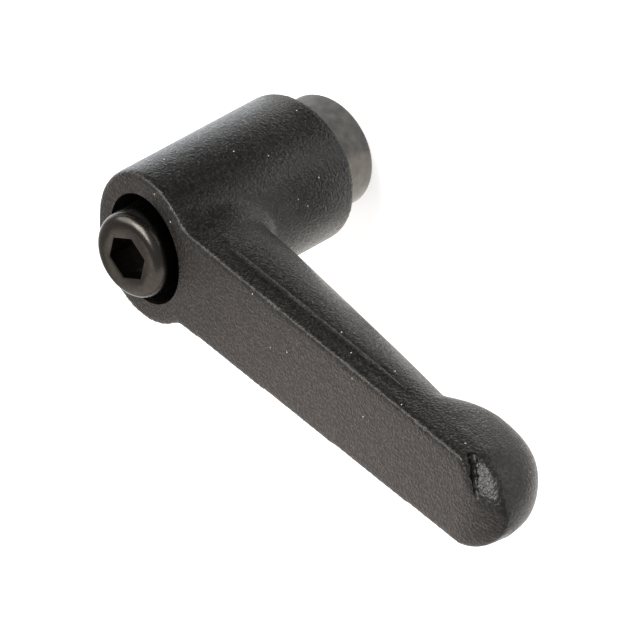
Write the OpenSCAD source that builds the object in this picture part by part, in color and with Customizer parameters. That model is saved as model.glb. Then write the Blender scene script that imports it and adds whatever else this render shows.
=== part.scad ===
// Adjustable clamping lever with an internal thread.
// Origin: middle of the clamping face under the insert. +Z runs up the hub axis, +X points along the arm.

/* [Hub] */
// Diameter of the hub at its lower rim
hub_d = 19.2; // [18:0.1:24]
// Draft of the hub wall, in degrees
hub_draft = 0.5; // [0:0.05:1.5]
// Height of the hub on its axis, from the lower rim to the slanted face
hub_h = 26.8; // [24:0.1:34]
// Rounding of the lower rim
hub_edge_r = 0.6; // [0.2:0.1:1]
// Radius of the fillets between hub and arm, seen from the front
hub_fillet_r = 3.5; // [1:0.1:6]
// Radius of the fillet under the arm
under_fillet_r = 1.5; // [0.5:0.1:4]

/* [Arm] */
// Swing radius, from the hub axis to the end of the knob
swing_r = 63; // [50:0.5:90]
// Rise of the arm and of the slanted face, in degrees
arm_tilt = 11.9; // [5:0.1:18]
// Width of the front face, carried on to the hub axis
face_w = 13.1; // [10:0.1:14.5]
// Width of the front face at the knob
face_end_w = 11.1; // [8:0.1:12]
// Depth of the straight sides, from the front face to the parting line
side_h = 2.7; // [1.5:0.1:4]
// Rounding of the front edges
face_edge_r = 0.7; // [0.3:0.1:1.2]
// Step at the parting line, on each side
parting_step = 0.25; // [0.1:0.05:0.6]
// Depth of the arm beside the hub
arm_depth = 12.7; // [8:0.1:14]
// Depth of the arm at its neck
neck_depth = 8.3; // [6:0.1:10]
// Swell of the arm's back between hub and neck
arm_swell = 0.1; // [0:0.05:1]

/* [Knob] */
// Length of the knob, from its deepest place to its end
knob_len = 11.8; // [10:0.1:18]
// Length from the neck to the deepest place of the knob
neck_len = 5; // [4:0.1:12]
// Depth of the knob
knob_depth = 12.1; // [10:0.1:15]
// Depth of the widest line of the knob
knob_mid = 1.2; // [1:0.1:3]
// Blend of the neck between arm and knob
neck_blend = 0.6; // [0.2:0.1:2]
// Length of the knob's round end, seen from the front
nose_len = 5.7; // [4:0.1:8]
// How far the knob stands out past the end of the front face
knob_nose = 3.4; // [1:0.1:5]
// Drop from the front face to the top of the knob behind it
knob_drop = 0.5; // [0.2:0.1:0.9]

/* [Insert] */
// Diameter of the collar
insert_d = 14.5; // [13:0.1:15]
// Height of the collar that shows below the hub
insert_stand = 6.3; // [3:0.1:10]
// Core diameter of the clamping thread
thread_core_d = 6.8; // [4.2:0.1:8.5]
// Depth of the clamping thread
thread_depth = 11.5; // [9:0.1:14]
// Solid web between the two threads
insert_web = 1.25; // [0.8:0.05:3]
// Chamfer at the mouth of the thread
thread_chamfer = 0.4; // [0.2:0.1:1]
// Chamfer at the edge of the collar
insert_chamfer = 0.3; // [0.2:0.1:1]

/* [Serration] */
// Number of teeth
tooth_n = 24; // [12:12:36]
// Length of the teeth
tooth_len = 3.5; // [2:0.1:5]
// Height of the teeth
tooth_h = 0.8; // [0.4:0.1:1]
// Step from the collar in to the tips of the teeth
tooth_inset = 0.4; // [0.2:0.1:0.8]

/* [Retaining screw] */
// Diameter of the head
head_d = 10.7; // [9:0.1:11]
// Height of the head
head_h = 6.2; // [5:0.1:8]
// Rounding of the head's upper edge
head_edge_r = 1.2; // [0.4:0.1:2]
// Width across flats of the hexagon socket
socket_w = 5; // [3:0.1:6]
// Depth of the hexagon socket
socket_depth = 3; // [1.5:0.1:4]
// Turn of the socket, from the arm to one of its corners, in degrees
socket_turn = 21; // [0:1:59]
// Diameter of the shank
shank_d = 6; // [4:0.1:7]
// Length of the shank held in the insert
shank_hold = 6; // [4:0.1:8]

/* [Spring] */
// Diameter of the wire
wire_d = 0.8; // [0.5:0.05:0.9]
// Turns of the spring, with the closed turn at each end
spring_turns = 4; // [3:0.5:5]
// Height of the spring at rest
spring_h = 8.1; // [7:0.1:12]
// Thickness of the shoulder in the hub that the spring stands on
shoulder_t = 3; // [2:0.1:4]

/* [Clearances] */
// Gap all round between the collar and the bore of the hub
running_gap = 0.05; // [0.02:0.01:0.1]
// Gap between the teeth of insert and lever
tooth_gap = 0.1; // [0.05:0.01:0.2]
// Gap between the top of the insert and the shoulder
seat_gap = 0.05; // [0.02:0.01:0.2]
// Gap all round between the screw head and its counterbore
head_gap = 1.4; // [0.5:0.1:1.8]
// Gap all round between the shank and the hole in the shoulder
shank_gap = 0.4; // [0.2:0.1:0.8]
// Gap all round between the shank and the spring
spring_gap = 1; // [0.3:0.1:1.2]

/* [Hidden] */
$fn = 96;
// How far a cut runs past a face, and how far joined shapes run into each other
eps = 0.01;
overlap = 0.5;
// Degrees in a radian
radian = 180 / PI;

// Heights on the hub axis
insert_h = thread_depth + insert_web + shank_hold;
shoulder_z = insert_h + seat_gap;
spring_z = shoulder_z + shoulder_t;
head_z = spring_z + spring_h;
face_z = insert_stand + hub_h;

// Radii round the hub axis
collar_r = insert_d / 2;
bore_r = collar_r + running_gap;
tooth_tip_r = collar_r - tooth_inset;
tooth_root_r = tooth_tip_r - tooth_h;
head_r = head_d / 2;
counterbore_r = head_r + head_gap;
shank_r = shank_d / 2;
spring_r = shank_r + spring_gap + wire_d / 2;
hub_r = hub_d / 2;
hub_top_z = face_z + 2 * hub_r * tan(arm_tilt);
hub_top_r = hub_r - (hub_top_z - insert_stand) * tan(hub_draft);

// Lengths along the front face, measured from the hub axis
end_x = (swing_r - knob_mid * sin(arm_tilt)) / cos(arm_tilt);
face_end_r = face_end_w / 2;
face_end_x = end_x - knob_nose - face_end_r;
knob_x = end_x - knob_len;
nose_x = end_x - nose_len;
neck_x = knob_x - neck_len;
root_x = hub_r / 2;

// Fillet circle in the plane of the front face: its centre and its start on the hub
hub_face_r = hub_r - hub_h * tan(hub_draft);
fillet_y = mix(face_w / 2, face_end_r, hub_r / face_end_x) + hub_fillet_r;
fillet_x = sqrt(pow(hub_face_r + hub_fillet_r, 2) - fillet_y * fillet_y);
fillet_share = hub_face_r / (hub_face_r + hub_fillet_r);

// Radius of the hub wall under the arm, where the fillet of the arm's back runs into it
hub_wall_r = hub_r - (hub_h - arm_depth) * tan(hub_draft);

// Loft of the arm's back: stations along the arm, points in each quarter of a section
fillet_steps = 16;
arm_steps = 6;
neck_steps = 9;
nose_steps = 11;
quarter = 7;
// Squareness of the round outlines, 2 for an ellipse: of a section, and of the knob's end from side and front
round_power = 2.3;
knob_power = 2.05;
nose_power = 1.65;
// How far back the round of the knob runs on into the neck
neck_reach = 1.3;

function mix(a, b, t) = a + (b - a) * t;
function clamp(t) = min(max(t, 0), 1);
function smooth_max(a, b, blend) = (a + b + sqrt((a - b) * (a - b) + blend * blend)) / 2;

// Height over a share of the half width of a full round outline
function full_round(t, power) = pow(max(0, 1 - pow(clamp(abs(t)), power)), 1 / power);

// Half the width of the front face at x
function face_half(x) = mix(face_w / 2, face_end_r, x / face_end_x);

// Rise at x of a fillet of radius r, on a circle centred at centre_x that begins at start_x
function fillet(x, centre_x, start_x, r) = x >= centre_x ? 0
    : r - sqrt(r * r - pow(centre_x - max(x, start_x), 2));
function side_fillet(x) = fillet(x, fillet_x, fillet_x * fillet_share, hub_fillet_r);

// Distance of a point of the slanted frame from the hub axis, and the fillet under the arm at that distance
function hub_distance(x, y, z) = norm([x * cos(arm_tilt) - z * sin(arm_tilt), y]);
function under_fillet(r) = fillet(r, hub_wall_r + under_fillet_r, hub_wall_r, under_fillet_r);

// Share of the way from the neck to the knob's deepest place, and how far the rounded end has closed in
function knob_part(x) = clamp((x - neck_x) / neck_len);
function closing(x) = full_round(max(0, x - nose_x) / nose_len, nose_power);

// Depth of the plain arm and of the knob at x
function arm_depth_at(x) = let (t = clamp((x - hub_r) / (neck_x - hub_r)))
    mix(arm_depth, neck_depth, t) + 4 * arm_swell * t * (1 - t);
function knob_depth_at(x) = knob_mid + (knob_depth - knob_mid)
    * (x > knob_x ? full_round((x - knob_x) / knob_len, knob_power)
                  : full_round((x - knob_x) / (neck_len * neck_reach), round_power));

// Section of the back at x: half width, top, widest line and bottom
function back_half(x) = closing(x) * (face_half(x) + parting_step + side_fillet(x));
function back_mid(x) = -mix(side_h, knob_mid, knob_part(x));
function back_top(x) = mix(back_mid(x), -mix(side_h - eps, knob_drop, knob_part(x)), closing(x));
function back_bottom(x) = x > knob_x ? -knob_depth_at(x)
    : -smooth_max(arm_depth_at(x), knob_depth_at(x), neck_blend);

// Point of a section at x, at an angle round it
function squared(v) = sign(v) * pow(abs(v), 2 / round_power);
function back_point(x, angle) = let (
        up = squared(sin(angle)),
        mid = back_mid(x),
        y = back_half(x) * squared(cos(angle)),
        z = mid + up * (up > 0 ? back_top(x) - mid : mid - back_bottom(x)))
    [x, y, z + min(up, 0) * under_fillet(hub_distance(x, y, z))];

function stations() = concat(
    [for (i = [0 : fillet_steps - 1]) mix(root_x, hub_r + hub_fillet_r, i / fillet_steps)],
    [for (i = [0 : arm_steps - 1]) mix(hub_r + hub_fillet_r, neck_x - neck_len, i / arm_steps)],
    [for (i = [0 : neck_steps - 1]) mix(neck_x - neck_len, knob_x, i / neck_steps)],
    [for (i = [0 : nose_steps - 1]) mix(knob_x, end_x, sin(90 * i / nose_steps))]);

// The slanted frame: x along the arm on the front face, z out of the face
module on_face() {
    translate([0, 0, face_z]) rotate([0, -arm_tilt, 0]) children();
}

// Closed loft through the sections of the back, ending in one point at the nose
module arm_back() {
    rows = stations();
    ring = 4 * quarter;
    last = len(rows) - 1;
    tip = len(rows) * ring;
    points = concat(
        [for (x = rows) for (k = [0 : ring - 1]) back_point(x, 360 * k / ring)],
        [[end_x, 0, back_mid(end_x)]]);
    faces = concat(
        [[for (k = [0 : ring - 1]) k]],
        [for (i = [0 : last - 1]) for (k = [0 : ring - 1]) let (n = (k + 1) % ring)
            [i * ring + k, (i + 1) * ring + k, (i + 1) * ring + n, i * ring + n]],
        [for (k = [0 : ring - 1]) [last * ring + k, tip, last * ring + (k + 1) % ring]]);
    polyhedron(points, faces);
}

// Round plate with a rounded upper edge, one end of the flat front
module face_puck(r) {
    height = side_h + overlap;
    translate([0, 0, eps - height])
        rotate_extrude($fn = 48)
            polygon(concat(
                [[0, 0], [r, 0]],
                [for (a = [0 : 18 : 90]) [r, height] + face_edge_r * [cos(a) - 1, sin(a) - 1]],
                [[0, height]]));
}

// Flat front of the arm: a tapered plate with straight sides and a round end
module arm_front() {
    hull() {
        translate([root_x, 0, 0]) face_puck(face_half(root_x));
        translate([face_end_x, 0, 0]) face_puck(face_end_r);
    }
}

// Concave fillets where the sides of the front run into the hub
module face_fillets() {
    for (side = [-1, 1])
        translate([0, 0, -side_h - overlap])
            linear_extrude(side_h + overlap + eps)
                difference() {
                    polygon([[0, 0], fillet_share * [fillet_x, side * fillet_y], [fillet_x, side * fillet_y],
                             [fillet_x, 0]]);
                    translate([fillet_x, side * fillet_y]) circle(hub_fillet_r);
                }
}

// Drafted hub with a rounded lower rim
module hub_body() {
    rotate_extrude()
        polygon(concat(
            [[0, insert_stand]],
            [for (a = [-90 : 15 : 0]) [hub_r, insert_stand] + hub_edge_r * [cos(a) - 1, sin(a) + 1]],
            [[hub_top_r, hub_top_z], [0, hub_top_z]]));
}

// Outline of the serration, grown by a gap for the internal one
module serration(gap) {
    pitch = 360 / tooth_n;
    tip_half = pitch / 8 + gap / tooth_tip_r * radian;
    root_half = 3 * pitch / 8 + gap / tooth_root_r * radian / 2;
    polygon([for (i = [0 : tooth_n - 1]) for (p = [[-root_half, tooth_root_r], [-tip_half, tooth_tip_r],
                                                   [tip_half, tooth_tip_r], [root_half, tooth_root_r]])
        (p[1] + gap) * [cos(i * pitch + p[0]), sin(i * pitch + p[0])]]);
}

module lever() {
    color("#2b2a29") difference() {
        union() {
            hub_body();
            on_face() arm_front();
            on_face() face_fillets();
            on_face() arm_back();
        }
        // Slanted top face shared by hub and arm
        on_face() translate([-swing_r, -swing_r, 0]) cube([3 * swing_r, 2 * swing_r, swing_r]);
        // Running bore for the collar
        translate([0, 0, insert_stand - eps])
            cylinder(r = bore_r, h = shoulder_z - tooth_len - insert_stand + eps);
        // Internal serration
        translate([0, 0, shoulder_z - tooth_len - eps]) linear_extrude(tooth_len + eps) serration(tooth_gap);
        // Hole for the shank and counterbore for spring and head
        translate([0, 0, shoulder_z - eps]) cylinder(r = shank_r + shank_gap, h = shoulder_t + 2 * eps);
        translate([0, 0, spring_z]) cylinder(r = counterbore_r, h = hub_top_z - spring_z + eps);
    }
}

module threaded_insert() {
    color("#3a3836") difference() {
        union() {
            rotate_extrude() polygon([
                [0, 0], [collar_r - insert_chamfer, 0], [collar_r, insert_chamfer],
                [collar_r, insert_h - tooth_len], [0, insert_h - tooth_len]]);
            translate([0, 0, insert_h - tooth_len - eps]) linear_extrude(tooth_len + eps) serration(0);
        }
        // Clamping thread with a chamfered mouth
        translate([0, 0, -eps]) cylinder(d = thread_core_d, h = thread_depth + eps);
        translate([0, 0, -eps])
            cylinder(r1 = thread_core_d / 2 + thread_chamfer + eps, r2 = thread_core_d / 2, h = thread_chamfer + eps);
        // Hole for the shank of the screw
        translate([0, 0, insert_h - shank_hold]) cylinder(r = shank_r, h = shank_hold + eps);
    }
}

module retaining_screw() {
    color("#4a4742") difference() {
        union() {
            translate([0, 0, insert_h - shank_hold])
                cylinder(r = shank_r, h = head_z - insert_h + shank_hold + eps);
            translate([0, 0, head_z])
                rotate_extrude()
                    polygon(concat(
                        [[0, 0], [head_r, 0]],
                        [for (a = [0 : 10 : 90]) [head_r, head_h] + head_edge_r * [cos(a) - 1, sin(a) - 1]],
                        [[0, head_h]]));
        }
        // Hexagon socket
        translate([0, 0, head_z + head_h - socket_depth])
            rotate(socket_turn) cylinder(d = socket_w / cos(30), h = socket_depth + eps, $fn = 6);
    }
}

// Height of the wire's middle at a share of the turns, with one closed turn at each end
function wire_z(t) = let (turn = t * spring_turns, open_turns = spring_turns - 2)
    wire_d / 2 + wire_d * (min(turn, 1) + max(turn - 1 - open_turns, 0))
    + (spring_h - 3 * wire_d) * min(max((turn - 1) / open_turns, 0), 1);

// Coiled wire: a round section swept along the helix
module spring() {
    rings_per_turn = 28;
    sides = 8;
    rings = ceil(spring_turns * rings_per_turn);
    points = [for (i = [0 : rings]) for (k = [0 : sides - 1])
        let (turn = 360 * spring_turns * i / rings, around = 360 * k / sides,
             r = spring_r + wire_d / 2 * cos(around))
        [r * cos(turn), r * sin(turn), spring_z + wire_z(i / rings) + wire_d / 2 * sin(around)]];
    faces = concat(
        [[for (k = [0 : sides - 1]) sides - 1 - k]],
        [for (i = [0 : rings - 1]) for (k = [0 : sides - 1]) let (n = (k + 1) % sides)
            [i * sides + k, i * sides + n, (i + 1) * sides + n, (i + 1) * sides + k]],
        [[for (k = [0 : sides - 1]) rings * sides + k]]);
    color("#55534f") polyhedron(points, faces);
}

lever();
threaded_insert();
retaining_screw();
spring();
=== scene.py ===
"""An adjustable clamping lever: a black coated cast lever on a steel insert, held by a screw and a spring."""
import math

import bmesh
import bpy
from mathutils import Matrix, Vector


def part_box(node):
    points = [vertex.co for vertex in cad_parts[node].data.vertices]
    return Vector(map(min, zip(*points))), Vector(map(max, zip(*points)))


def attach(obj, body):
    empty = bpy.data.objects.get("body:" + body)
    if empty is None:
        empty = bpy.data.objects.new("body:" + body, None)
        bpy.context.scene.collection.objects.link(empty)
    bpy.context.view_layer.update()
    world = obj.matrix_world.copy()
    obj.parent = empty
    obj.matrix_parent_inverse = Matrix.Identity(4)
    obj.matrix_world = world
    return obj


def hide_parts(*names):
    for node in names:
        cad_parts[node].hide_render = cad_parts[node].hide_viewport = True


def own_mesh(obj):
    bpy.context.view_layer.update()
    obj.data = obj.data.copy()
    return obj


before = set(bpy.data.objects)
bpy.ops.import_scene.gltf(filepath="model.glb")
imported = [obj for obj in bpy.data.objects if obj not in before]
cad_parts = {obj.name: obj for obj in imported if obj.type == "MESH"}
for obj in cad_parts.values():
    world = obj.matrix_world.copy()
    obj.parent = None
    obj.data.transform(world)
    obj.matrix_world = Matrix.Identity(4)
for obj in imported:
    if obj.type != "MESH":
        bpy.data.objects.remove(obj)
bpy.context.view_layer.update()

# Threaded insert
# A turned collar of blackened steel that the lever turns on. Its lower face is the clamping face, with the
# clamping thread tapped up into it. The fine teeth round its upper end carry the lever's turning force.

MM = 0.001
insert_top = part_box("threaded_insert")[1]
collar_r = insert_top.x
tooth_len = 3.5 * MM
collar_h = insert_top.z - tooth_len
collar_edge = 0.3 * MM
tooth_n = 24
tooth_h = 0.8 * MM
tooth_inset = 0.4 * MM
thread_core_r = 3.4 * MM
thread_r = 4.0 * MM
thread_pitch = 1.25 * MM
thread_depth = 11.5 * MM
thread_mouth = 0.45 * MM
groove_overlap = 0.1 * MM
groove_steps = 48
shank_r = 3.0 * MM
shank_hold = 6.0 * MM
overcut = 1 * MM
tiny = 0.01 * MM


def start_piece(name):
    """Names the new primitive, with its turn and place moved into its mesh."""
    piece = bpy.context.object
    piece.name = name
    piece.data.name = name
    bpy.ops.object.transform_apply(location=True, rotation=True, scale=True)
    return piece


def cylinder(name, radius, low, high, sides=96):
    """A plain upright cylinder on the hub axis, the start of a turned piece or a drill."""
    bpy.ops.object.select_all(action="DESELECT")
    bpy.ops.mesh.primitive_cylinder_add(vertices=sides, radius=radius, depth=high - low,
                                        location=(0, 0, (low + high) / 2))
    return start_piece(name)


def edit(piece):
    """Opens a piece in edit mode with nothing selected, and gives its mesh."""
    bpy.ops.object.select_all(action="DESELECT")
    piece.select_set(True)
    bpy.context.view_layer.objects.active = piece
    bpy.ops.object.mode_set(mode="EDIT")
    bpy.ops.mesh.select_all(action="DESELECT")
    return bmesh.from_edit_mesh(piece.data)


def select(mesh, items, wanted):
    """Selects those of the mesh's vertices, edges or faces that are wanted, and nothing else."""
    for item in [*mesh.faces, *mesh.edges, *mesh.verts]:
        item.select_set(False)
    for item in items:
        if wanted(item):
            item.select_set(True)


def done():
    """Closes edit mode."""
    bpy.ops.object.mode_set(mode="OBJECT")


def level(edge, z):
    """Whether an edge lies at a height on the hub axis."""
    return all(abs(v.co.z - z) < tiny for v in edge.verts)


def apply_modifier(piece, kind, **settings):
    """Adds a modifier with these settings and applies it."""
    bpy.ops.object.select_all(action="DESELECT")
    piece.select_set(True)
    bpy.context.view_layer.objects.active = piece
    bpy.ops.object.modifier_add(type=kind)
    modifier = piece.modifiers[-1]
    for setting, value in settings.items():
        setattr(modifier, setting, value)
    bpy.ops.object.modifier_apply(modifier=modifier.name)


def cut(piece, *tools):
    """Takes the tools' shapes out of a piece, and removes the tools."""
    for tool in tools:
        apply_modifier(piece, "BOOLEAN", operation="DIFFERENCE", solver="EXACT", object=tool)
        bpy.data.objects.remove(tool)


def unite(piece, other):
    """Makes another shape a part of a piece, and removes the other."""
    apply_modifier(piece, "BOOLEAN", operation="UNION", solver="EXACT", object=other)
    bpy.data.objects.remove(other)


def toothed_core(name, low, high, gap):
    """A core with one tooth drawn out of each of its sides, grown all over by a gap."""
    core_r = collar_r - tooth_inset - tooth_h + gap
    core = cylinder(name, core_r, low, high, sides=tooth_n)
    mesh = edit(core)
    select(mesh, mesh.faces, lambda f: abs(f.normal.z) < 0.5)
    pitch = 2 * math.pi / tooth_n * core_r
    half_valley = pitch / 8 - gap
    flank = pitch / 4
    bpy.ops.mesh.inset(thickness=half_valley, use_individual=True)
    bpy.ops.mesh.inset(thickness=flank, depth=tooth_h, use_individual=True)
    done()
    return core


def thread_groove(name, low, high):
    """The groove that a tap cuts: a pointed section wound up round the hub axis."""
    turns = math.ceil((high - low) / thread_pitch)
    half_mouth = thread_pitch * 7 / 16
    inner_r = thread_core_r - groove_overlap
    bpy.ops.object.select_all(action="DESELECT")
    bpy.ops.mesh.primitive_circle_add(vertices=3, radius=half_mouth, fill_type="NGON",
                                      location=(inner_r, 0, low), rotation=(math.pi / 2, 0, 0))
    groove = start_piece(name)
    mesh = edit(groove)
    corners = sorted(mesh.verts, key=lambda v: v.co.x)
    section = ((inner_r, low - half_mouth), (inner_r, low + half_mouth), (thread_r, low))
    for corner, (x, z) in zip(corners, section):
        select(mesh, [corner], lambda v: True)
        bpy.ops.transform.translate(value=(x - corner.co.x, -corner.co.y, z - corner.co.z))
    done()
    apply_modifier(groove, "SCREW", axis="Z", angle=2 * math.pi, screw_offset=thread_pitch, iterations=turns,
                   steps=groove_steps, render_steps=groove_steps, use_merge_vertices=True)
    edit(groove)
    bpy.ops.mesh.select_all(action="SELECT")
    bpy.ops.mesh.remove_doubles(threshold=tiny / 10)
    bpy.ops.mesh.select_all(action="DESELECT")
    bpy.ops.mesh.select_non_manifold(extend=False)
    bpy.ops.mesh.edge_face_add()
    bpy.ops.mesh.select_all(action="SELECT")
    bpy.ops.mesh.normals_make_consistent(inside=False)
    done()
    return groove


insert = cylinder("collar", collar_r, 0, collar_h, sides=192)
mesh = edit(insert)
select(mesh, mesh.edges, lambda e: level(e, 0))
bpy.ops.mesh.bevel(offset=collar_edge, segments=2, affect="EDGES")
done()
unite(insert, toothed_core("teeth", collar_h - tiny, insert_top.z, gap=0))

drill = cylinder("drill", thread_core_r, -overcut, thread_depth)
mouth = cylinder("mouth", thread_core_r, -overcut, thread_mouth)
mesh = edit(mouth)
select(mesh, mesh.verts, lambda v: v.co.z < 0)
wide = (thread_core_r + thread_mouth + overcut) / thread_core_r
bpy.ops.transform.resize(value=(wide, wide, 1), center_override=(0, 0, -overcut))
done()
shank_hole = cylinder("shank_hole", shank_r, insert_top.z - shank_hold, insert_top.z + overcut)
cut(insert, drill, mouth, shank_hole, thread_groove("groove", -thread_pitch, thread_depth - thread_pitch))
bpy.ops.object.shade_smooth_by_angle(angle=math.radians(35))


def new_material(name):
    """An empty material, its node tree and its shader."""
    material = bpy.data.materials.new(name)
    material.use_nodes = True
    return material, material.node_tree, material.node_tree.nodes["Principled BSDF"]


def own_place(tree, size, stretch=(1, 1, 1)):
    """The piece's own coordinates, counted in steps of this size."""
    place = tree.nodes.new("ShaderNodeTexCoord")
    scale = tree.nodes.new("ShaderNodeMapping")
    scale.inputs["Scale"].default_value = [s / size for s in stretch]
    tree.links.new(place.outputs["Object"], scale.inputs["Vector"])
    return scale.outputs["Vector"]


def noise(tree, size, detail, stretch=(1, 1, 1)):
    """Noise on the piece's own coordinates whose grains are about this size."""
    grain = tree.nodes.new("ShaderNodeTexNoise")
    grain.inputs["Scale"].default_value = 1
    grain.inputs["Detail"].default_value = detail
    tree.links.new(own_place(tree, size, stretch), grain.inputs["Vector"])
    return grain.outputs["Fac"]


def ramp(tree, value, first, last, low=0.3, high=0.7):
    """Colours or numbers from first to last, as a value goes from low to high."""
    steps = tree.nodes.new("ShaderNodeValToRGB")
    tree.links.new(value, steps.inputs["Fac"])
    for stop, at, colour in zip(steps.color_ramp.elements, (low, high), (first, last)):
        stop.position = at
        stop.color = (*colour, 1) if isinstance(colour, tuple) else (colour, colour, colour, 1)
    return steps.outputs["Color"]


def bump(tree, height, depth, under=None):
    """Relief of a depth in metres, on top of another relief."""
    relief = tree.nodes.new("ShaderNodeBump")
    relief.inputs["Strength"].default_value = 1
    relief.inputs["Distance"].default_value = depth
    tree.links.new(height, relief.inputs["Height"])
    if under:
        tree.links.new(under, relief.inputs["Normal"])
    return relief.outputs["Normal"]


def finish_piece(piece, node, body, material):
    """Gives a piece its material, and puts it on its body in place of its CAD node."""
    piece.data.materials.clear()
    piece.data.materials.append(material)
    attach(piece, body)
    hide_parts(node)


steel_dark = (0.085, 0.083, 0.079)
steel_pale = (0.15, 0.141, 0.128)
cloud_size = 1.3 * MM
lathe_mark = 0.25 * MM
lathe_depth = 0.004 * MM
round_the_axis = (0.02, 0.02, 1)

black_steel, tree, shader = new_material("blackened_steel")
shader.inputs["Metallic"].default_value = 1
turned = noise(tree, lathe_mark, detail=3, stretch=round_the_axis)
cloud = noise(tree, cloud_size, detail=4)
tree.links.new(ramp(tree, cloud, steel_dark, steel_pale), shader.inputs["Base Color"])
tree.links.new(ramp(tree, cloud, first=0.4, last=0.36), shader.inputs["Roughness"])
tree.links.new(bump(tree, turned, lathe_depth), shader.inputs["Normal"])
insert.name = "insert"
finish_piece(insert, "threaded_insert", "core", black_steel)

# Lever
# One zinc casting: a round hub, cut off on the slant, that runs into an arm with a flat front, a rounded back
# and a knob at its end. It is coated all over with a fine sandy black powder, and its bores are cut clean.

lever_low, lever_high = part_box("lever")
head_low, head_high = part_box("retaining_screw")
spring_low, spring_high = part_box("spring")
hub_r = -lever_low.y
hub_foot = lever_low.z
hub_draft = math.radians(0.5)
tilt = math.radians(11.9)
face_z = hub_foot + 26.8 * MM
face_w = 13.1 * MM
face_end_w = 11.1 * MM
side_h = 2.7 * MM
parting_step = 0.3 * MM
parting_rise = 4 * MM
parting_fade = 7 * MM
fillet_r = 3.5 * MM
under_fillet_r = 1.5 * MM
back_fillet_share = 0.6
arm_depth = 12.7 * MM
neck_depth = 8.3 * MM
arm_swell = 0.1 * MM
knob_len = 11.8 * MM
neck_len = 5 * MM
neck_reach = 1.3
neck_blend = 0.6 * MM
knob_depth = 12.1 * MM
knob_mid = 1.2 * MM
nose_len = 5.7 * MM
nose_bend_lead = 0.4 * MM
knob_nose = 3.4 * MM
knob_drop = 0.35 * MM
round_power = 2.3
knob_power = 2.05
nose_power = 1.8
nose_round = 2.4 * MM
nose_sink = 0.6
nose_clear = 0.12 * MM
sink = 0.6 * MM
sink_at_nose = 0.3
voxel = 0.235 * MM
counterbore_r = 6.75 * MM
running_gap = 0.05 * MM
tooth_gap = 0.1 * MM
shank_gap = 0.4 * MM
shoulder_t = 3 * MM

nose_mid = knob_mid + nose_sink * nose_round
end_x = (lever_high.x - nose_clear - nose_mid * math.sin(tilt)) / math.cos(tilt)
face_end_r = face_end_w / 2
face_end_x = end_x - knob_nose - face_end_r
nose_x = end_x - nose_len
bend_x = nose_x - nose_bend_lead
knob_x = end_x - knob_len
neck_x = knob_x - neck_len
root_x = hub_r / 2
hub_face_r = hub_r - (face_z - hub_foot) * math.tan(hub_draft)
hub_wall_r = hub_r - (face_z - hub_foot - arm_depth) * math.tan(hub_draft)


def mix(a, b, share):
    """A number from a to b as a share goes from 0 to 1."""
    return a + (b - a) * min(max(share, 0), 1)


def smooth_max(a, b, blend):
    """The larger of two numbers, with the change from one to the other rounded."""
    return (a + b + math.hypot(a - b, blend)) / 2


def full_round(share, power):
    """Height of a full round outline, an ellipse at a power of 2 and squarer above it."""
    return max(0, 1 - min(abs(share), 1) ** power) ** (1 / power)


def face_half(x):
    """Half the width of the flat front, which narrows towards the knob."""
    return face_w / 2 + (face_end_r - face_w / 2) * x / face_end_x


fillet_y = face_half(hub_r) + fillet_r
fillet_x = math.sqrt((hub_face_r + fillet_r) ** 2 - fillet_y ** 2)
fillet_start = fillet_x * hub_face_r / (hub_face_r + fillet_r)


def fillet(x, centre, start, radius):
    """Rise at x of a fillet whose circle is centred at one place and begins at another."""
    if x >= centre:
        return 0
    return radius - math.sqrt(radius ** 2 - (centre - max(x, start)) ** 2)


def side_fillet(x):
    """How far the fillet widens the arm where it leaves the hub."""
    return fillet(x, fillet_x, fillet_start, fillet_r)


def closing(x):
    """Share of the full width that is left as the nose closes."""
    return full_round(max(0, x - nose_x) / nose_len, nose_power)


def nose_drop(x):
    """How far the front bends down at the nose."""
    return nose_round * (1 - full_round(max(0, x - bend_x) / (end_x - bend_x), 2))


def parting(x):
    """Step at the parting line, which fades out at the hub and at the knob."""
    from_hub = mix(0, 1, (x - hub_r) / parting_rise)
    to_knob = mix(1, 0, (x - neck_x + parting_fade) / parting_fade)
    return parting_step * from_hub * to_knob


def back_ring(x):
    """Section of the rounded back: its place, half width, top, widest line and bottom."""
    along = min(max((x - hub_r) / (neck_x - hub_r), 0), 1)
    depth = mix(arm_depth, neck_depth, along) + 4 * arm_swell * along * (1 - along)
    depth += fillet(x * math.cos(tilt) + depth * math.sin(tilt), hub_wall_r + under_fillet_r, hub_wall_r,
                    under_fillet_r)
    in_knob = (x - neck_x) / neck_len
    middle = mix(side_h, knob_mid, in_knob) + nose_sink * nose_drop(x)
    if x > knob_x:
        bottom = middle + (knob_depth - middle) * full_round((x - knob_x) / knob_len, knob_power)
    else:
        rise = full_round((x - knob_x) / (neck_len * neck_reach), round_power)
        bottom = smooth_max(depth, knob_mid + (knob_depth - knob_mid) * rise, neck_blend)
    top = mix(middle, mix(side_h - tiny, knob_drop + nose_drop(x), in_knob), closing(x))
    half = closing(x) * (face_half(x) + parting(x) + back_fillet_share * side_fillet(x))
    return x, half, -top, -middle, -bottom


def front_ring(x):
    """Section of the flat front at x, which lies just inside the back at the nose."""
    top = nose_drop(x)
    bottom = side_h + sink + sink_at_nose * top
    half = closing(x) * (face_half(x) + side_fillet(x) - tiny)
    return x, half, -top, -(top + bottom) / 2, -bottom


def steps(first, last, count):
    """Even steps from first up to, but not at, last."""
    return [first + (last - first) * i / count for i in range(count)]


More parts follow.
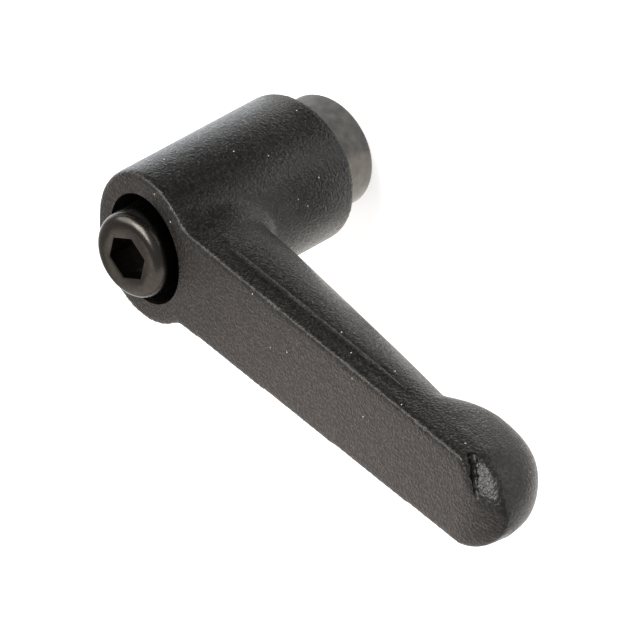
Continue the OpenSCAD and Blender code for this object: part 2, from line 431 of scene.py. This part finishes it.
def loft(name, rings, corner_profile):
    """A solid drawn out through sections along the arm, from a small square to a point at its end."""
    start_half = 1 * MM
    corner_segments = 14
    start_x = rings[0][0]
    start_z = rings[0][3]
    bpy.ops.object.select_all(action="DESELECT")
    bpy.ops.mesh.primitive_plane_add(size=2 * start_half, location=(start_x, 0, start_z),
                                     rotation=(0, math.pi / 2, 0))
    piece = start_piece(name)
    edit(piece)
    bpy.ops.mesh.select_all(action="SELECT")
    if corner_profile:
        bpy.ops.mesh.bevel(offset=start_half, segments=corner_segments, profile=corner_profile,
                           affect="VERTICES")
        bpy.ops.mesh.select_all(action="SELECT")
        bpy.ops.mesh.remove_doubles(threshold=tiny / 10)
    last = (start_x, start_half, start_z + start_half, start_z, start_z - start_half)
    for ring in rings:
        x, half, top, middle, bottom = ring
        last_x, last_half, last_top, last_middle, last_bottom = last
        if ring is not rings[0]:
            move = (x - last_x, 0, middle - last_middle)
            bpy.ops.mesh.extrude_region_move(TRANSFORM_OT_translate={"value": move})
        centre = (x, 0, middle)
        mesh = bmesh.from_edit_mesh(piece.data)
        outline = [v for v in mesh.verts if v.select]
        bpy.ops.transform.resize(value=(1, half / last_half, 1), center_override=centre)
        upper = (top - middle) / (last_top - last_middle)
        lower = (bottom - middle) / (last_bottom - last_middle)
        for side, size in ((1, upper), (-1, lower)):
            select(mesh, outline, lambda v: (v.co.z - middle) * side > 0)
            bpy.ops.transform.resize(value=(1, 1, size), center_override=centre)
        select(mesh, outline, lambda v: True)
        mesh.select_flush(True)
        last = ring
    bpy.ops.mesh.merge(type="CENTER")
    bpy.ops.mesh.select_all(action="SELECT")
    bpy.ops.mesh.normals_make_consistent(inside=False)
    done()
    return piece


fillet_end = hub_wall_r + under_fillet_r
neck_start = neck_x - neck_len
arm_places = steps(root_x, fillet_end, count=16) + steps(fillet_end, neck_start, count=10)
knob_places = steps(neck_start, knob_x, count=16) + steps(knob_x, nose_x, count=6)
nose_places = [nose_x + nose_len * math.sin(a) for a in steps(0, math.pi / 2, count=14)]
places = arm_places + knob_places + nose_places
back = loft("arm_back", [back_ring(x) for x in places], corner_profile=0.5 ** (2 / round_power))
front = loft("arm_front", [front_ring(x) for x in places], corner_profile=None)

# The casting's gate was broken off at the knob's shoulder, which left a sloping flat with a step behind it.
gate_x = 57.45 * MM
gate_y = 5.6 * MM
gate_turn = math.radians(39.3)
gate_step = 1.4 * MM
gate_fade = 0.3
gate_slope = 0.76
gate_reach = 5 * MM
gate_over = 2 * MM
gate_len = 7 * MM


def gate_cut(name):
    """The wedge that was broken off: its inner side is the step and its underside is the sloping flat."""
    bpy.ops.object.select_all(action="DESELECT")
    middle = (gate_reach / 2, (gate_over - gate_len) / 2, gate_reach / 2)
    bpy.ops.mesh.primitive_cube_add(size=1, location=middle)
    wedge = bpy.context.object
    wedge.scale = (gate_reach, gate_over + gate_len, gate_reach)
    start_piece(name)
    mesh = edit(wedge)
    select(mesh, mesh.verts, lambda v: v.co.x > tiny and v.co.z < tiny)
    bpy.ops.transform.translate(value=(0, 0, -gate_slope * gate_reach))
    for end in (gate_over, -gate_len):
        select(mesh, mesh.verts, lambda v: abs(v.co.y - end) < tiny)
        bpy.ops.transform.translate(value=(0, 0, -gate_step - gate_fade * end))
    done()
    wedge.rotation_euler = (0, 0, gate_turn)
    wedge.location = (gate_x, gate_y, 0)
    return start_piece(name)


def slant(part):
    """Turns a shape drawn level into the arm's slanted place."""
    bpy.ops.object.select_all(action="DESELECT")
    part.select_set(True)
    bpy.context.view_layer.objects.active = part
    part.rotation_euler = (0, -tilt, 0)
    part.location = (0, 0, face_z)
    bpy.ops.object.transform_apply(location=True, rotation=True, scale=True)


for part in (back, front):
    cut(part, gate_cut("gate_cut"))
    slant(part)

hub_rise = hub_r * math.tan(tilt) + overcut
lever = cylinder("lever_casting", hub_r, hub_foot, face_z + hub_rise, sides=160)
mesh = edit(lever)
select(mesh, mesh.verts, lambda v: v.co.z > face_z)
narrow = 1 - (face_z + hub_rise - hub_foot) * math.tan(hub_draft) / hub_r
bpy.ops.transform.resize(value=(narrow, narrow, 1), center_override=(0, 0, face_z + hub_rise))
bpy.ops.mesh.select_all(action="SELECT")
bpy.ops.mesh.bisect(plane_co=(0, 0, face_z), plane_no=(-math.sin(tilt), 0, math.cos(tilt)), use_fill=True,
                    clear_outer=True)
done()

bpy.ops.object.select_all(action="DESELECT")
for part in (back, front, lever):
    part.select_set(True)
bpy.context.view_layer.objects.active = lever
bpy.ops.object.join()
apply_modifier(lever, "REMESH", mode="VOXEL", voxel_size=voxel, use_smooth_shade=True)

# The casting is rounded where hub and arm run together, at its rims and on the flat of the gate. Each place
# has a weight that fades out over a length, and a weight that would pass 1 is held at 1.
junction_full = 1.3
junction_off_wall = 0.5 * MM
junction_fade = 3 * MM
junction_top = 2 * MM
junction_top_fade = 1.5 * MM
junction_foot = 4 * MM
junction_foot_fade = 3 * MM
junction_x = 2 * MM
front_rim_full = 1.5
front_rim_fade = 1.4 * MM
foot_rim_fade = 1.2 * MM
gate_flat_x = 0.1 * MM
gate_flat_fade = 0.5 * MM
gate_flat_low = 6 * MM
gate_flat_low_fade = 2 * MM


def soften(name, weight, turns):
    """Rounds the casting where a weight is above 0."""
    group = lever.vertex_groups.new(name=name)
    for v in lever.data.vertices:
        share = weight(v.co)
        if share > 0:
            group.add([v.index], share, "REPLACE")
    apply_modifier(lever, "SMOOTH", factor=0.5, iterations=turns, vertex_group=name)
    lever.vertex_groups.remove(lever.vertex_groups[name])


def depth_under_front(place):
    """How far a place lies behind the flat front."""
    return -(place.z - face_z) * math.cos(tilt) + place.x * math.sin(tilt)


def at_junction(place):
    """1 where arm and hub meet, fading out to 0 round it."""
    off_wall = math.hypot(place.x, place.y) - hub_r
    near = junction_full - abs(off_wall - junction_off_wall) / junction_fade
    under = (depth_under_front(place) - junction_top) / junction_top_fade
    above = (place.z - hub_foot - junction_foot) / junction_foot_fade
    return min(1, max(0, min(near, under, above))) if place.x > junction_x else 0


def at_front_rim(place):
    """1 at the rim of the front, fading out to 0 under it."""
    return min(1, max(0, front_rim_full - depth_under_front(place) / front_rim_fade))


def at_foot_rim(place):
    """1 at the lower rim of the hub, fading out to 0 above it."""
    return max(0, 1 - (place.z - hub_foot) / foot_rim_fade)


def at_gate(place):
    """1 on the flat that the broken gate left, fading out to 0 at the step behind it and low on the knob."""
    along = place.x * math.cos(tilt) + (place.z - face_z) * math.sin(tilt) - gate_x
    out = along * math.cos(gate_turn) + (place.y - gate_y) * math.sin(gate_turn)
    off_step = (out - gate_flat_x) / gate_flat_fade
    above = (gate_flat_low - depth_under_front(place)) / gate_flat_low_fade
    return min(1, max(0, min(off_step, above)))


soften("junction", at_junction, turns=28)
soften("gate", at_gate, turns=40)
soften("front_rim", at_front_rim, turns=29)
soften("foot_rim", at_foot_rim, turns=7)
soften("all_over", lambda place: 1, turns=3)

shoulder_low = spring_low.z - shoulder_t
counterbore = cylinder("counterbore", counterbore_r, spring_low.z, lever_high.z)
shank_way = cylinder("shank_way", shank_r + shank_gap, shoulder_low - overcut, spring_low.z + overcut)
running_bore = cylinder("running_bore", collar_r + running_gap, hub_foot - overcut, collar_h + running_gap,
                        sides=192)
tooth_way = toothed_core("tooth_way", collar_h - overcut, shoulder_low, gap=tooth_gap)
cut(lever, counterbore, shank_way, running_bore, tooth_way)


def round_bar(name, points, radius, roundness):
    """A round bar along points, each given as its place and its share of the radius."""
    bpy.ops.object.select_all(action="DESELECT")
    bpy.ops.curve.primitive_nurbs_path_add(location=(0, 0, 0))
    bar = start_piece(name)
    bar.data.splines.clear()
    line = bar.data.splines.new("POLY")
    line.points.add(len(points) - 1)
    for point, (place, share) in zip(line.points, points):
        point.co = (*place, 1)
        point.radius = share
    bar.data.bevel_depth = radius
    bar.data.bevel_resolution = roundness
    bar.data.use_fill_caps = True
    bpy.ops.object.convert(target="MESH")
    return bar


# The two halves of the mould left a thin bead along the parting line on each side of the arm.
bead_r = 0.13 * MM
bead_steps = 16
bead_start = hub_r + 2 * MM
bead_stop = neck_x - 1 * MM
bead_fillet_share = 0.3
bead_sink = 0.06 * MM
bead_power = 4

for side in (-1, 1):
    points = []
    for i in range(bead_steps + 1):
        x = mix(bead_start, bead_stop, i / bead_steps)
        y = face_half(x) + parting(x) + bead_fillet_share * side_fillet(x) - bead_sink
        points.append(((x, side * y, -side_h), full_round(2 * i / bead_steps - 1, bead_power)))
    bead = round_bar("parting_bead", points, bead_r, roundness=2)
    slant(bead)
    unite(lever, bead)

# The break left a ragged groove along the foot of the gate's step.
groove_r = 0.5 * MM
groove_points = 24
groove_start = 0.6 * MM
groove_stop = -6.2 * MM
groove_out = 0.15 * MM
groove_wide = 1.15
groove_narrow = 0.5
ragged = 0.2
ragged_wave = 2.4
ragged_ripple = 5.3

points = []
for i in range(groove_points + 1):
    along = mix(groove_start, groove_stop, i / groove_points)
    place = (gate_x - along * math.sin(gate_turn) + groove_out * math.cos(gate_turn),
             gate_y + along * math.cos(gate_turn) + groove_out * math.sin(gate_turn),
             -gate_step - gate_fade * along - groove_out * gate_slope)
    uneven = 1 + ragged * math.sin(ragged_wave * i) + ragged * math.sin(ragged_ripple * i)
    points.append((place, mix(groove_wide, groove_narrow, i / groove_points) * uneven))
groove = round_bar("gate_groove", points, groove_r, roundness=3)
slant(groove)
cut(lever, groove)
bpy.ops.object.shade_smooth_by_angle(angle=math.radians(50))


def specks(tree, cell, radius):
    """1 on specks of dust of a radius, about one to a cell, and 0 elsewhere."""
    cells = tree.nodes.new("ShaderNodeTexVoronoi")
    cells.inputs["Scale"].default_value = 1
    tree.links.new(own_place(tree, cell), cells.inputs["Vector"])
    near = tree.nodes.new("ShaderNodeMath")
    near.operation = "LESS_THAN"
    near.inputs[1].default_value = radius / cell
    tree.links.new(cells.outputs["Distance"], near.inputs[0])
    return near.outputs["Value"]


def dusted(tree, dust, clean, dusty):
    """A value that gives way to another where there is dust."""
    over = tree.nodes.new("ShaderNodeMix")
    over.data_type = "RGBA"
    tree.links.new(dust, over.inputs[0])
    tree.links.new(clean, over.inputs[6])
    over.inputs[7].default_value = (*dusty, 1)
    return over.outputs[2]


coat_dark = (0.0062, 0.0061, 0.006)
coat_pale = (0.036, 0.031, 0.027)
sand_size = 0.33 * MM
sand_depth = 0.048 * MM
peel_size = 1.1 * MM
peel_depth = 0.04 * MM
dust_colour = (0.7, 0.68, 0.65)
dust_rough = (0.9, 0.9, 0.9)
dust_cell = 2.2 * MM
dust_r = 0.09 * MM

black_coat, tree, shader = new_material("black_powder_coat")
sand = noise(tree, sand_size, detail=2)
peel = noise(tree, peel_size, detail=2)
dust = specks(tree, dust_cell, dust_r)
coat = ramp(tree, sand, coat_dark, coat_pale, low=0.42, high=0.75)
gloss = ramp(tree, sand, first=0.4, last=0.22, low=0.35, high=0.7)
tree.links.new(dusted(tree, dust, coat, dust_colour), shader.inputs["Base Color"])
tree.links.new(dusted(tree, dust, gloss, dust_rough), shader.inputs["Roughness"])
relief = bump(tree, peel, peel_depth)
grains = ramp(tree, sand, first=0.0, last=1.0, low=0.35, high=0.75)
tree.links.new(bump(tree, grains, sand_depth, relief), shader.inputs["Normal"])
finish_piece(lever, "lever", "lever", black_coat)

# Spring
# A short compression spring of round wire with a closed turn at each end. It stands on the shoulder inside
# the hub, under the head of the screw, and draws the teeth together again when the lever is let go.

wire_r = 0.4 * MM
coil_r = spring_high.x - wire_r
coil_turns = 4
points_per_turn = 32
spring_h = spring_high.z - spring_low.z


def wire_height(turn):
    """Height of the wire's middle after some turns, with one closed turn at each end."""
    open_turns = coil_turns - 2
    closed = min(turn, 1) + max(turn - 1 - open_turns, 0)
    opened = min(max((turn - 1) / open_turns, 0), 1)
    return spring_low.z + wire_r + 2 * wire_r * closed + (spring_h - 6 * wire_r) * opened


points = []
for i in range(coil_turns * points_per_turn + 1):
    turn = i / points_per_turn
    angle = 2 * math.pi * turn
    points.append(((coil_r * math.cos(angle), coil_r * math.sin(angle), wire_height(turn)), 1))
spring = round_bar("coil_spring", points, wire_r, roundness=4)
bpy.ops.object.shade_smooth_by_angle(angle=math.radians(40))

wire_dark = (0.22, 0.21, 0.2)
wire_pale = (0.32, 0.31, 0.29)
wire_grain = 0.5 * MM

spring_steel, tree, shader = new_material("spring_wire")
shader.inputs["Metallic"].default_value = 1
drawn = noise(tree, wire_grain, detail=4)
tree.links.new(ramp(tree, drawn, wire_dark, wire_pale), shader.inputs["Base Color"])
tree.links.new(ramp(tree, drawn, first=0.38, last=0.28), shader.inputs["Roughness"])
finish_piece(spring, "spring", "spring_carrier", spring_steel)
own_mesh(spring)

# Retaining screw
# A black oxide cap screw with a hexagon socket, turned from steel bar. Its shank is held in the insert, and
# its head keeps the spring and the lever on.

head_r = head_high.x
head_top = head_high.z
head_edge = 1.3 * MM
head_under_edge = 0.2 * MM
socket_w = 5 * MM
socket_depth = 3 * MM
socket_turn = math.radians(21)
socket_mouth = 0.12 * MM
shank_fit = 0.02 * MM

screw = cylinder("cap_screw", head_r, spring_high.z, head_top, sides=128)
mesh = edit(screw)
select(mesh, mesh.edges, lambda e: level(e, head_top))
bpy.ops.mesh.bevel(offset=head_edge, segments=10, affect="EDGES")
mesh = bmesh.from_edit_mesh(screw.data)
select(mesh, mesh.edges, lambda e: level(e, spring_high.z))
bpy.ops.mesh.bevel(offset=head_under_edge, segments=2, affect="EDGES")
done()
unite(screw, cylinder("shank", shank_r - shank_fit, head_low.z, spring_high.z + overcut, sides=64))

socket_r = socket_w / 2 / math.cos(math.pi / 6)
bpy.ops.object.select_all(action="DESELECT")
bpy.ops.mesh.primitive_cylinder_add(vertices=6, radius=socket_r, depth=2 * socket_depth,
                                    location=(0, 0, head_top), rotation=(0, 0, socket_turn + math.pi / 2))
socket = start_piece("socket")
cut(screw, socket)
mesh = edit(screw)
in_socket = socket_r + tiny
select(mesh, mesh.edges, lambda e: level(e, head_top) and all(v.co.xy.length < in_socket for v in e.verts))
bpy.ops.mesh.bevel(offset=socket_mouth, segments=2, affect="EDGES")
done()
bpy.ops.object.shade_smooth_by_angle(angle=math.radians(30))

oxide_dark = (0.062, 0.058, 0.053)
oxide_pale = (0.078, 0.072, 0.065)
skin_size = 0.6 * MM
oxide_grain = 0.15 * MM
oxide_depth = 0.006 * MM

screw_steel, tree, shader = new_material("black_oxide_steel")
shader.inputs["Metallic"].default_value = 1
skin = noise(tree, skin_size, detail=4)
fine = noise(tree, oxide_grain, detail=2)
tree.links.new(ramp(tree, skin, oxide_dark, oxide_pale), shader.inputs["Base Color"])
tree.links.new(ramp(tree, skin, first=0.3, last=0.23), shader.inputs["Roughness"])
tree.links.new(bump(tree, fine, oxide_depth), shader.inputs["Normal"])
finish_piece(screw, "retaining_screw", "core", screw_steel)

# Floor
# A plain white sheet under the clamping face. It is white to the camera and in the metal, and keeps the
# shadow. A little light of its own, which only those two see, lifts its lit parts to white.

floor_size = 6.0
floor_gap = 0.02 * MM
paper_white = (0.9, 0.9, 0.9, 1)
paper_rough = 0.9
paper_lift = 0.6

bpy.ops.object.select_all(action="DESELECT")
bpy.ops.mesh.primitive_plane_add(size=floor_size, location=(0, 0, -floor_gap))
floor = start_piece("floor")


def seen_directly(tree, *rays):
    """1 for these kinds of ray, and 0 for the light that falls on the object."""
    path = tree.nodes.new("ShaderNodeLightPath")
    seen = path.outputs[rays[0]]
    for ray in rays[1:]:
        either = tree.nodes.new("ShaderNodeMath")
        either.operation = "MAXIMUM"
        tree.links.new(seen, either.inputs[0])
        tree.links.new(path.outputs[ray], either.inputs[1])
        seen = either.outputs["Value"]
    return seen


def between(tree, value, first, last):
    """A number that goes from first to last as a value goes from 0 to 1."""
    span = tree.nodes.new("ShaderNodeMapRange")
    span.inputs["To Min"].default_value = first
    span.inputs["To Max"].default_value = last
    tree.links.new(value, span.inputs["Value"])
    return span.outputs["Result"]


paper, tree, shader = new_material("white_paper")
shader.inputs["Base Color"].default_value = paper_white
shader.inputs["Roughness"].default_value = paper_rough
shader.inputs["Emission Color"].default_value = (1, 1, 1, 1)
lift_to_white = between(tree, seen_directly(tree, "Is Camera Ray", "Is Glossy Ray"), 0, paper_lift)
tree.links.new(lift_to_white, shader.inputs["Emission Strength"])
floor.data.materials.append(paper)

# Light
# A white studio with three soft boxes over the hub, the upper side and the broken gate, a weak warm one for
# the front and a strip along the lower side. Black and bright cards on the floor and beside the lever, which
# only gloss can see, give the dark and the light bands that the coat and the steel mirror.

room_light = 0.35

world = bpy.data.worlds.new("white_studio")
bpy.context.scene.world = world
world.use_nodes = True
tree = world.node_tree
background = tree.nodes["Background"]
background.inputs["Color"].default_value = (1, 1, 1, 1)
around = between(tree, seen_directly(tree, "Is Camera Ray"), room_light, 1)
tree.links.new(around, background.inputs["Strength"])


def soft_box(name, place, aim, size, brightness, colour):
    """A lit rectangle that faces a place and is as bright as a white wall times a number."""
    data = bpy.data.lights.new(name, "AREA")
    data.shape = "RECTANGLE"
    data.size, data.size_y = size
    data.energy = brightness * math.pi * size[0] * size[1]
    data.color = colour
    lamp = bpy.data.objects.new(name, data)
    bpy.context.scene.collection.objects.link(lamp)
    lamp.location = place
    lamp.rotation_euler = (Vector(place) - Vector(aim)).to_track_quat("Z", "Y").to_euler()
    lamp.visible_camera = False


soft_box("key_box", place=(-0.075, 0.235, 0.32), aim=(0.02, 0, 0.03), size=(0.21, 0.21), brightness=7.5,
         colour=(1, 0.97, 0.94))
soft_box("edge_box", place=(-0.28, 0.19, 0.25), aim=(0.02, 0, 0.03), size=(0.25, 0.25), brightness=3.0,
         colour=(1, 0.97, 0.93))
soft_box("front_box", place=(-0.4, -0.24, 0.18), aim=(0.03, 0, 0.04), size=(0.24, 0.24), brightness=0.32,
         colour=(1, 0.7, 0.55))
soft_box("gate_box", place=(0.02, 0.13, 0.36), aim=(0.06, 0, 0.04), size=(0.1, 0.1), brightness=8.0,
         colour=(1, 0.97, 0.94))
soft_box("side_strip", place=(0.03, -0.035, 0.06), aim=(0.03, 0, 0.035), size=(0.12, 0.04), brightness=1.0,
         colour=(1, 0.88, 0.8))


def card(name, size, place, turn, material):
    """A sheet that only gloss can see."""
    bpy.ops.object.select_all(action="DESELECT")
    bpy.ops.mesh.primitive_plane_add(size=1, location=place, rotation=turn)
    sheet = bpy.context.object
    sheet.scale = (*size, 1)
    start_piece(name)
    sheet.visible_camera = False
    sheet.visible_diffuse = False
    sheet.visible_shadow = False
    sheet.data.materials.append(material)


card_z = 0.2 * MM
lying = (0, 0, 0)
lying_askew = (0, 0, math.radians(-25))
facing_arm = (math.pi / 2, 0, 0)
facing_hub = (0, math.pi / 2, 0)

black, tree, shader = new_material("black_card")
shader.inputs["Base Color"].default_value = (0.01, 0.01, 0.012, 1)
shader.inputs["Roughness"].default_value = 0.9
card("low_card", size=(0.212, 0.2325), place=(-0.094, 0.13375, card_z), turn=lying, material=black)
card("low_card_end", size=(0.09, 0.22), place=(0.04, 0.14, 2 * card_z), turn=lying_askew, material=black)
card("foot_card", size=(0.018, 0.004), place=(0.005, 0.0135, 0.0021), turn=facing_arm, material=black)
card("side_card", size=(0.009, 0.022), place=(0.019, 0.003, 0.0046), turn=facing_hub, material=black)
card("back_card", size=(0.48, 0.12), place=(-0.15, 0.3, 0.06), turn=facing_arm, material=black)

for side, low_x, high_x, low_y, high_y, strength, colour in (
        ("left", -0.085, -0.012, -0.1, 0.02, 1.8, (0.94, 0.97, 1, 1)),
        ("mid", -0.012, 0.016, 0.003, 0.0115, 0.95, (0.97, 0.98, 1, 1)),
        ("right", -0.012, 0.0125, -0.1, 0.003, 1.5, (1, 0.96, 0.9, 1)),
        ("under", 0.0125, 0.034, -0.03, -0.006, 0.85, (1, 0.97, 0.92, 1)),
        ("knob", 0.034, 0.055, -0.006, 0.06, 0.6, (1, 0.98, 0.96, 1)),
        ("end", 0.055, 0.15, -0.006, 0.06, 0.85, (1, 0.97, 0.92, 1))):
    white, tree, shader = new_material("white_card_" + side)
    shader.inputs["Base Color"].default_value = (0, 0, 0, 1)
    shader.inputs["Emission Color"].default_value = colour
    shader.inputs["Emission Strength"].default_value = strength
    card("bright_card_" + side, size=(high_x - low_x, high_y - low_y),
         place=((low_x + high_x) / 2, (low_y + high_y) / 2, card_z), turn=lying, material=white)

# Camera
# A long lens that stands where the photograph was taken from. It is rolled as the photograph is, so that the
# lever lies across the picture.

view_azimuth = math.radians(137.42)
view_elevation = math.radians(41.28)
view_roll = math.radians(-120.55)
view_aim = Vector((18.96, -5.33, 23.02)) * MM
view_distance = 432.06 * MM
lens_mm = 208.17
sensor_mm = 36

camera_data = bpy.data.cameras.new("camera")
camera_data.sensor_width = sensor_mm
camera_data.lens = lens_mm
camera_data.clip_start = 0.01
camera = bpy.data.objects.new("camera", camera_data)
bpy.context.scene.collection.objects.link(camera)
turn = (Matrix.Rotation(view_azimuth, 3, "Z") @ Matrix.Rotation(math.pi / 2 - view_elevation, 3, "X")
        @ Matrix.Rotation(view_roll, 3, "Z"))
camera.rotation_euler = turn.to_euler()
camera.location = view_aim + turn @ Vector((0, 0, view_distance))
bpy.context.scene.camera = camera
bpy.context.scene.view_settings.view_transform = "Standard"
